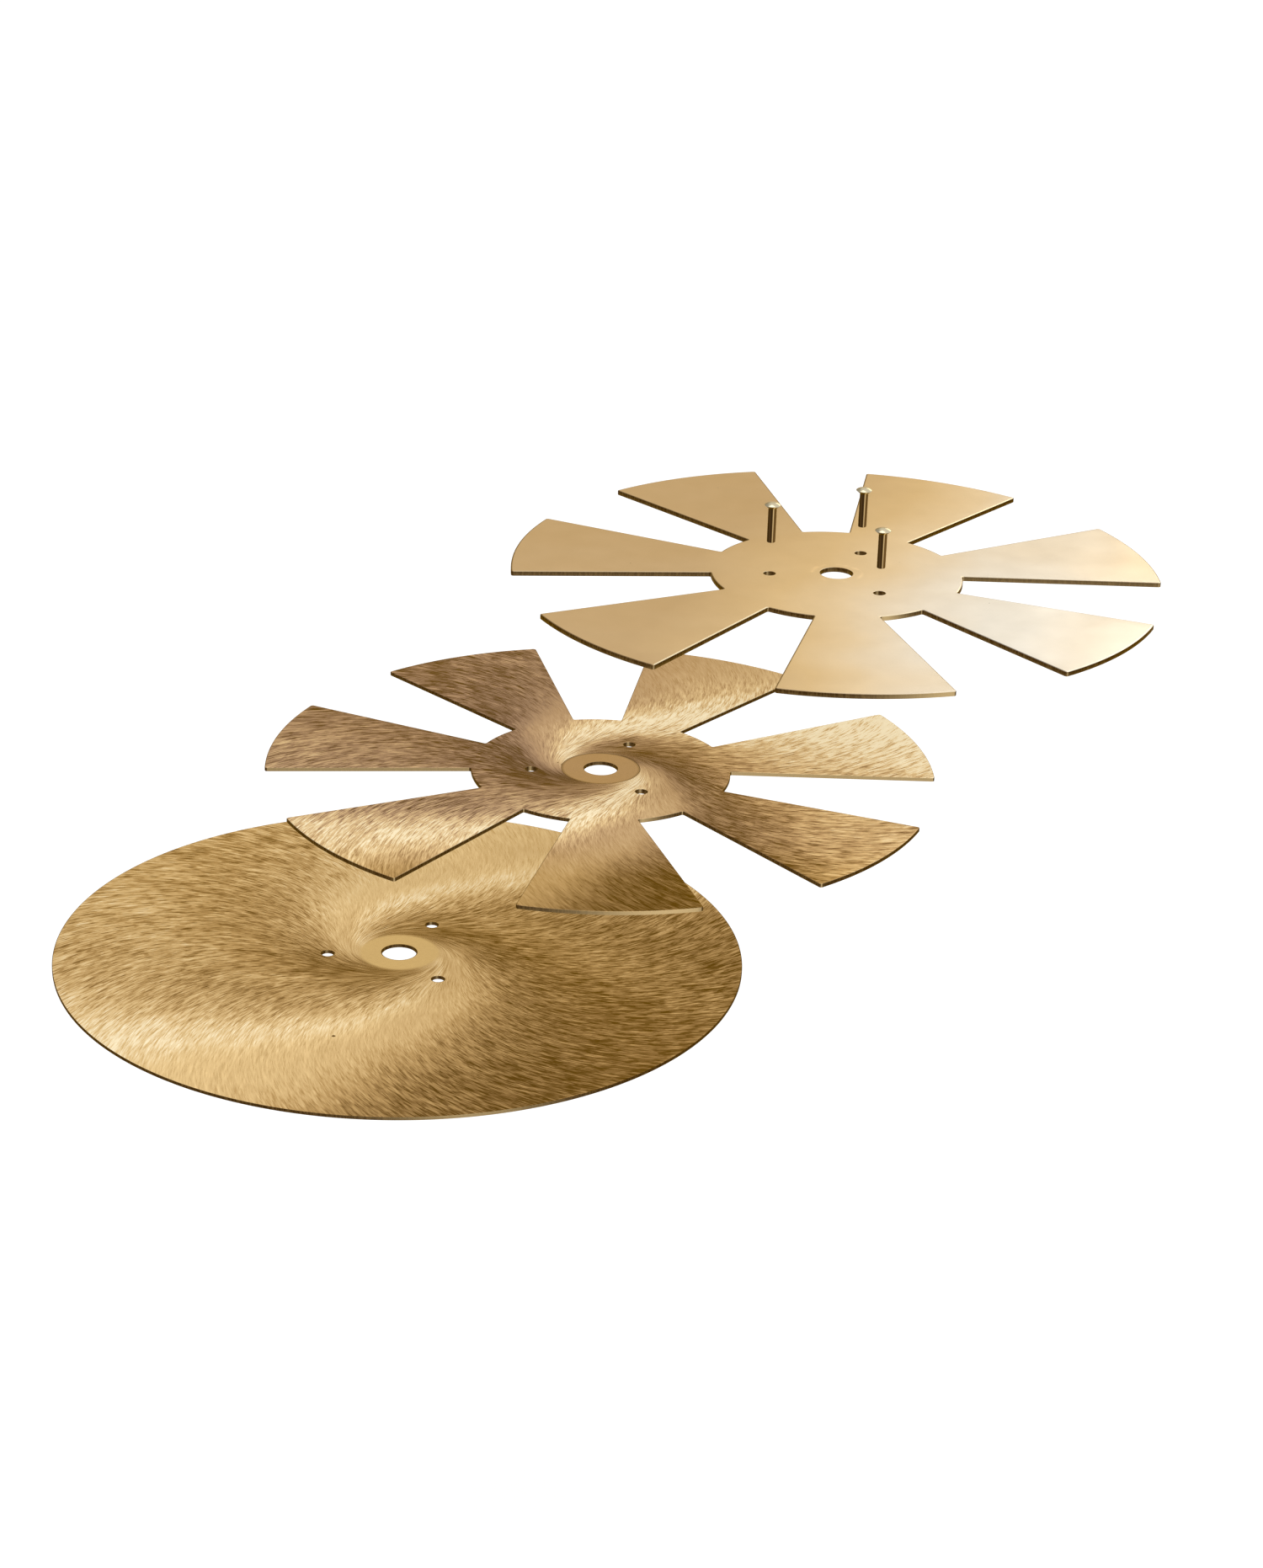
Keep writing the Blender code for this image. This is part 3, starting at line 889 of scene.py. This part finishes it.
    def coloured(self, tone):
        """The grain colours along the tone with its painted light and shade, bluer in the painted shade on the left."""
        looks, blue = bpy.context.scene.cymbal_finish, self.ground.blue
        grains = (looks.grain_dark, looks.grain_shade, looks.grain_middle, looks.grain_light, looks.grain_highlight)
        colour = self.colours(tone, [(0.25 * step, grain) for step, grain in enumerate(grains)])
        blue_in_shade = self.times(self.ramp(self.y, *COOL_BACK), self.ramp(self.x, *COOL_LEFT))
        blue_in_shade = self.times(self.ramp(tone, *COOL_TONE), blue_in_shade)
        return self.tint(blue_in_shade, colour, (1.0, 1.0 + 0.08 * (blue - 1.0), blue), "MULTIPLY")

    def pitted(self, colour):
        """The colour with the sheet's small dark pits."""
        dark = bpy.context.scene.cymbal_finish.grain_dark
        for right, back, size in self.ground.pits:
            away = self.distance(self.add(self.x, -right), self.add(self.y, -back))
            colour = self.tint(self.ramp(away, size, 0.5 * size), colour, dark)
        return colour

    def plain_ring(self, colour):
        """The plain ring's colour, a little cloudy, with a thin painted shade line near its edge."""
        cloudy = self.scaled(self.noise(self.where, 0.6, 3.0), 0.14, 0.93)
        # Painted shade along a thin line near the ring's edge
        off_shade_line = self.math("ABSOLUTE", self.add(self.radius, -RING_SHADE_LINE))
        line = self.ramp(off_shade_line, *RING_SHADE_WIDTH, self.ground.ring_shade_line, 0.0)
        return self.shaded(colour, self.add(cloudy, line))


def polished_finish(name, centre):
    """Polished bronze: a painted reflection pales it from left to right, with faint lathe lines, wide shallow waves
    and a few specks.
    """
    looks = bpy.context.scene.cymbal_finish
    made = Finish(name, centre)
    wave = made.noise(made.where, 0.018, 1.5)
    # Painted reflection: paler to the right, darker at the front and paler near the middle
    across = made.add(made.scaled(made.y, -0.35, made.x), made.scaled(wave, 30.0, -15.0))
    front = made.ramp(made.y, -85.0, -115.0, 0.0, -0.14)
    pale = made.add(made.ramp(across, -SHEEN_REACH, SHEEN_REACH, smooth=False), front)
    right = made.ramp(across, 0.0, 60.0, 0.0, 0.09)
    pale = made.add(pale, made.add(made.ramp(made.radius, 75.0, 35.0, 0.0, 0.05), right))
    # The painted reflection is held below a cap, lower towards the back and at the far right
    most = made.add(made.ramp(made.y, 35.0, -35.0, 0.80, 0.93), made.ramp(across, 80.0, 120.0, 0.0, -0.10))
    colour = made.colours(
        made.math("MINIMUM", pale, most),
        ((0.28, looks.polish_left), (0.5, looks.polish_middle), (0.64, looks.polish_pale), (0.90, looks.polish_right)),
    )
    lathe = made.noise(made.vector(made.radius, 0.0, 0.0), 1.4, 3.0, 0.7)
    haze = made.noise(made.where, 0.11, 4.0, 0.6)
    shade = made.add(made.scaled(lathe, 0.05, 0.975), made.scaled(haze, 0.09, -0.045))
    off_mark = made.math("ABSOLUTE", made.add(made.radius, -RUBBED_RADIUS))
    rubbed = made.ramp(off_mark, 0.0, RUBBED_WIDTH, RUBBED_TONE, 0.0)
    shade = made.scaled(rubbed, made.ramp(made.noise(made.where, 0.13), 0.48, 0.62), shade)
    speck = made.node("ShaderNodeTexVoronoi", feature="F1")
    made.put(speck.inputs["Vector"], made.where)
    speck.inputs["Scale"].default_value = 0.075
    shade = made.times(shade, made.ramp(speck.outputs["Distance"], 0.012, 0.03, 0.55, 1.0))
    made.cut_edges(made.shaded(colour, shade), made.scaled(haze, 0.08, 0.28), TOP_EDGE)
    made.bump(made.add(made.times(wave, 6.0), made.times(lathe, 0.02)), 1.0 * MM, 0.25)
    return made.material


def rivet_finish(name, centre):
    """Turned rivet: a bright burnished head with painted shade on its left, over a darker drawn shank with
    lengthwise draw lines and painted highlights. The shank's dark is partly its own colour and partly painted shade.
    """
    looks = bpy.context.scene.cymbal_finish
    made = Finish(name, centre)
    angle = made.math("ARCTAN2", made.y, made.x)
    drawn = made.noise(made.round_about(angle, 2.2, made.times(made.z, 0.04)), 1.0, 3.0, 0.6)
    turned = made.noise(made.vector(made.radius, 0.0, 0.0), 5.0)
    stain = made.noise(made.where, 0.9, 3.0)
    # Draw lines on the shank, with painted highlights in fixed directions
    shank_lines_and_highlights = made.scaled(drawn, 0.5, -0.15)
    for direction, narrow, strength in SHANK_HIGHLIGHTS:
        shank_lines_and_highlights = made.scaled(made.lobe(angle, math.radians(direction), narrow), strength, shank_lines_and_highlights)
    shank = made.colours(shank_lines_and_highlights, ((0.0, looks.rivet_dark), (0.45, looks.rivet_shank), (1.0, looks.rivet_highlight)))
    # Painted shade: the head is darker on its left, its edge broken up by the stain
    left_shade = made.ramp(made.add(made.x, made.scaled(stain, 1.2, -0.6)), -2.4, -0.4, 0.50, 1.0)
    head_marks_and_shade = made.times(left_shade, made.add(made.scaled(turned, 0.10, 0.95), made.scaled(stain, 0.16, -0.08)))
    head = made.shaded(looks.rivet_head, head_marks_and_shade)
    below = made.ramp(made.value("edge"), 0.35, 0.55)
    rough = made.blend(below, made.scaled(stain, 0.1, 0.14), made.scaled(drawn, 0.14, 0.20))
    made.put(made.shader.inputs["Base Color"], made.tint(below, head, shank))
    made.put(made.shader.inputs["Roughness"], rough)
    made.bump(made.blend(below, turned, drawn), 0.02 * MM, 0.4)
    return made.material


# Making the pieces


def add_piece(name, mesh, material, body):
    """Links one finished piece, which stands for the solid of its body, and lets it move with that body.

    The pieces don't mirror one another, as in the photograph, where each one shows only its own white surroundings.
    """
    mesh.materials.append(material)
    piece = bpy.data.objects.new(name, mesh)
    piece.visible_glossy = False
    bpy.context.scene.collection.objects.link(piece)
    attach(piece, body)
    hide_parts(body)


def sheet_level(node):
    """A sheet's thickness and the height of its top face."""
    low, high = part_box(node)
    return high.z - low.z, high.z


class CYMBAL_OT_make_disc(bpy.types.Operator):
    """Make the plain round disc at the bottom of the stack"""

    bl_idname = "cymbal.make_disc"
    bl_label = "Make Bottom Disc"

    def execute(self, context):
        sizes, looks = context.scene.cymbal_sheets, context.scene.cymbal_finish
        thickness, top = sheet_level("bottom_disc")
        place = (0.0, 0.0, top)
        mesh = sheet_mesh("disc", round_outline(sizes), sizes.disc_roll, DISC_GROUND.edge, thickness, place, 0.0)
        made = GroundFinish("disc_ground", place, DISC_GROUND, looks.disc_bright_turn, looks.disc_ring)
        add_piece("disc", mesh, made.material, "bottom_disc")
        return {"FINISHED"}


class CYMBAL_OT_make_middle(bpy.types.Operator):
    """Make the swirl-ground bladed sheet in the middle of the stack"""

    bl_idname = "cymbal.make_middle"
    bl_label = "Make Middle Sheet"

    def execute(self, context):
        sizes, looks = context.scene.cymbal_sheets, context.scene.cymbal_finish
        thickness, top = sheet_level("middle_sheet")
        place = tuple(sizes.middle_place) + (top,)
        outline, edge = bladed_outline(sizes), MIDDLE_GROUND.edge
        mesh = sheet_mesh(
            "middle_blades", outline, sizes.middle_roll, edge, thickness, place, sizes.ring_step, BURR_UNDER
        )
        made = GroundFinish("middle_ground", place, MIDDLE_GROUND, looks.middle_bright_turn, looks.middle_ring)
        add_piece("middle_blades", mesh, made.material, "middle_sheet")
        return {"FINISHED"}


class CYMBAL_OT_make_top(bpy.types.Operator):
    """Make the polished bladed sheet at the top of the stack"""

    bl_idname = "cymbal.make_top"
    bl_label = "Make Top Sheet"

    def execute(self, context):
        sizes = context.scene.cymbal_sheets
        thickness, top = sheet_level("top_sheet")
        place = tuple(sizes.top_place) + (top,)
        outline = bladed_outline(sizes)
        mesh = sheet_mesh("top_blades", outline, sizes.top_roll, TOP_EDGE, thickness, place, 0.0, BURR_UNDER)
        add_piece("top_blades", mesh, polished_finish("top_polish", place), "top_sheet")
        return {"FINISHED"}


class CYMBAL_OT_make_rivets(bpy.types.Operator):
    """Make the three loose rivets above their holes"""

    bl_idname = "cymbal.make_rivets"
    bl_label = "Make Rivets"

    def execute(self, context):
        sizes, shape = context.scene.cymbal_sheets, context.scene.cymbal_rivets
        for label, turn in zip(RIVET_PLACES, sizes.rivet_turns):
            body = "rivet_" + label
            low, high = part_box(body)
            across = np.array(sizes.top_place) + on_circle(sizes.rivet_circle, turn)
            place = (across[0], across[1], high.z - shape.dome_height)
            mesh = rivet_mesh(body + "_turned", place, high.z - low.z)
            add_piece(body + "_turned", mesh, rivet_finish(body + "_metal", place), body)
        return {"FINISHED"}


class CYMBAL_OT_set_stage(bpy.types.Operator):
    """Set up the pale floor, the soft lamps, the white surroundings and the camera"""

    bl_idname = "cymbal.set_stage"
    bl_label = "Set Stage"

    def execute(self, context):
        stage = context.scene.cymbal_stage
        lay_floor(stage)
        light_world(stage)
        add_lamp("key_lamp", *KEY_LAMP, stage.key_power)
        add_lamp("top_lamp", *TOP_LAMP, stage.top_power)
        place_camera(stage)
        context.scene.view_settings.view_transform = "Standard"
        return {"FINISHED"}


def seen_directly(tree):
    """1 for what the camera sees, straight or in metal or glass, and 0 for light that falls on things."""
    path = tree.nodes.new("ShaderNodeLightPath")
    total = path.outputs["Is Camera Ray"]
    for name in ("Is Glossy Ray", "Is Transmission Ray"):
        larger = tree.nodes.new("ShaderNodeMath")
        larger.operation = "MAXIMUM"
        tree.links.new(total, larger.inputs[0])
        tree.links.new(path.outputs[name], larger.inputs[1])
        total = larger.outputs[0]
    return total


def join_looks(tree, kind, lit, shown):
    """Joins two shaders to the output: one for light that falls on things, one for what the camera sees."""
    output, seen = tree.nodes.new(kind), tree.nodes.new("ShaderNodeMixShader")
    for socket, source in zip(seen.inputs, (seen_directly(tree), lit.outputs[0], shown.outputs[0])):
        tree.links.new(source, socket)
    tree.links.new(seen.outputs[0], output.inputs[0])


def lay_floor(stage):
    """A plain pale floor, well under the held stack, so that its shadow falls soft and faint."""
    half = stage.floor_size / 2.0
    mesh = bpy.data.meshes.new("floor")
    corners = [(-half, -half), (half, -half), (half, half), (-half, half)]
    mesh.from_pydata([(x, y, stage.floor_height) for x, y in corners], [], [(0, 1, 2, 3)])
    material = bpy.data.materials.new("floor_paper")
    material.use_nodes = True
    tree = material.node_tree
    tree.nodes.clear()
    matt = tree.nodes.new("ShaderNodeBsdfDiffuse")
    soft = tree.nodes.new("ShaderNodeBsdfDiffuse")
    glow = tree.nodes.new("ShaderNodeEmission")
    both = tree.nodes.new("ShaderNodeAddShader")
    matt.inputs["Color"].default_value = tuple(stage.floor_colour) + (1.0,)
    soft.inputs["Color"].default_value = FLOOR_SEEN
    glow.inputs["Strength"].default_value = FLOOR_GLOW
    tree.links.new(soft.outputs[0], both.inputs[0])
    tree.links.new(glow.outputs[0], both.inputs[1])
    join_looks(tree, "ShaderNodeOutputMaterial", matt, both)
    mesh.materials.append(material)
    floor = bpy.data.objects.new("floor", mesh)
    bpy.context.scene.collection.objects.link(floor)


def light_world(stage):
    """White surroundings to the camera and to metal, and a plain soft light on everything else."""
    world = bpy.data.worlds.new("white_room")
    bpy.context.scene.world = world
    world.use_nodes = True
    tree = world.node_tree
    tree.nodes.clear()
    light = tree.nodes.new("ShaderNodeBackground")
    white = tree.nodes.new("ShaderNodeBackground")
    light.inputs["Strength"].default_value = stage.ambient
    join_looks(tree, "ShaderNodeOutputWorld", light, white)
    for source in (light, white):
        source.inputs["Color"].default_value = WHITE


def add_lamp(name, place, size, power):
    """A wide soft lamp aimed at the stack."""
    lamp = bpy.data.lights.new(name, "AREA")
    lamp.shape = "RECTANGLE"
    lamp.size, lamp.size_y = size
    lamp.energy = power
    made = bpy.data.objects.new(name, lamp)
    bpy.context.scene.collection.objects.link(made)
    away = np.array(place) - LAMP_AIM
    turn = math.atan2(away[1], away[0]) + math.pi / 2.0
    lean = math.acos(away[2] / np.linalg.norm(away))
    made.matrix_world = Matrix.Translation(place) @ Matrix.Rotation(turn, 4, "Z") @ Matrix.Rotation(lean, 4, "X")


def place_camera(stage):
    """The photograph's camera: it looks down along +Y and leans a little."""
    camera = bpy.data.cameras.new("photo_camera")
    camera.sensor_fit = "HORIZONTAL"
    camera.sensor_width = SENSOR_WIDTH
    camera.lens = stage.camera_focus / PHOTO_WIDTH * SENSOR_WIDTH
    camera.clip_end = CAMERA_REACH
    made = bpy.data.objects.new("photo_camera", camera)
    bpy.context.scene.collection.objects.link(made)
    made.matrix_world = (
        Matrix.Translation(stage.camera_place)
        @ Matrix.Rotation(math.pi / 2.0 - stage.camera_pitch, 4, "X")
        @ Matrix.Rotation(stage.camera_roll, 4, "Z")
    )
    bpy.context.scene.camera = made


class CYMBAL_PT_panel(bpy.types.Panel):
    """Buttons and settings of the effects cymbal"""

    bl_idname = "CYMBAL_PT_panel"
    bl_label = "Effects Cymbal"
    bl_space_type = "VIEW_3D"
    bl_region_type = "UI"
    bl_category = "Cymbal"

    def draw(self, context):
        for operator in STEPS:
            self.layout.operator(operator.bl_idname)
        for name in SETTINGS:
            group = getattr(context.scene, name)
            box = self.layout.box()
            for setting in group.bl_rna.properties:
                if setting.identifier not in ("rna_type", "name"):
                    box.prop(group, setting.identifier)


STEPS = (
    CYMBAL_OT_make_disc,
    CYMBAL_OT_make_middle,
    CYMBAL_OT_make_top,
    CYMBAL_OT_make_rivets,
    CYMBAL_OT_set_stage,
)
SETTINGS = {
    "cymbal_sheets": CymbalSheetSettings,
    "cymbal_rivets": CymbalRivetSettings,
    "cymbal_finish": CymbalFinishSettings,
    "cymbal_stage": CymbalStageSettings,
}


def register():
    """Registers the settings, the operators and the panel."""
    for name, group in SETTINGS.items():
        bpy.utils.register_class(group)
        setattr(bpy.types.Scene, name, PointerProperty(type=group))
    for made in STEPS + (CYMBAL_PT_panel,):
        bpy.utils.register_class(made)


def unregister():
    """Takes everything out again in the opposite order."""
    for made in reversed(STEPS + (CYMBAL_PT_panel,)):
        bpy.utils.unregister_class(made)
    for name, group in reversed(list(SETTINGS.items())):
        delattr(bpy.types.Scene, name)
        bpy.utils.unregister_class(group)


def main():
    """Makes every piece in the panel's order."""
    register()
    for step in STEPS:
        family, name = step.bl_idname.split(".")
        getattr(getattr(bpy.ops, family), name)()


if __name__ == "__main__":
    main()
